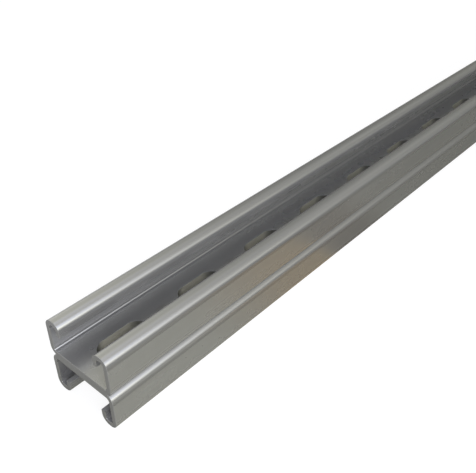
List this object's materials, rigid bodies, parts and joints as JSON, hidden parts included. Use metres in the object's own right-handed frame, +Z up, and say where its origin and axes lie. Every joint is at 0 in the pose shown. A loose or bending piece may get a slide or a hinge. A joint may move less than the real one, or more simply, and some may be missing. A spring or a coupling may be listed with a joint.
{
  "type": "strut channel",
  "caption": "Back-to-back strut channel: lipped C sections joined web to web, with a row of slots through the webs and a mouth above and below for channel nuts.",
  "frame": {"origin": "centre of the underside, where the two lower flanges rest", "axes": "+X along the stock, away from the cut end seen in the picture; +Y across, towards the picture's left; +Z up, out of the upper channel's mouth"},
  "size_m": [1, 0.0412, 0.0413],
  "materials": {
    "galvanised_strip": "pre-galvanised strip, smooth satin zinc, sheared edges bare"
  },
  "bodies": {
    "root": {"lower_channel": "galvanised_strip", "upper_channel": "galvanised_strip"}
  },
  "joints": []
}
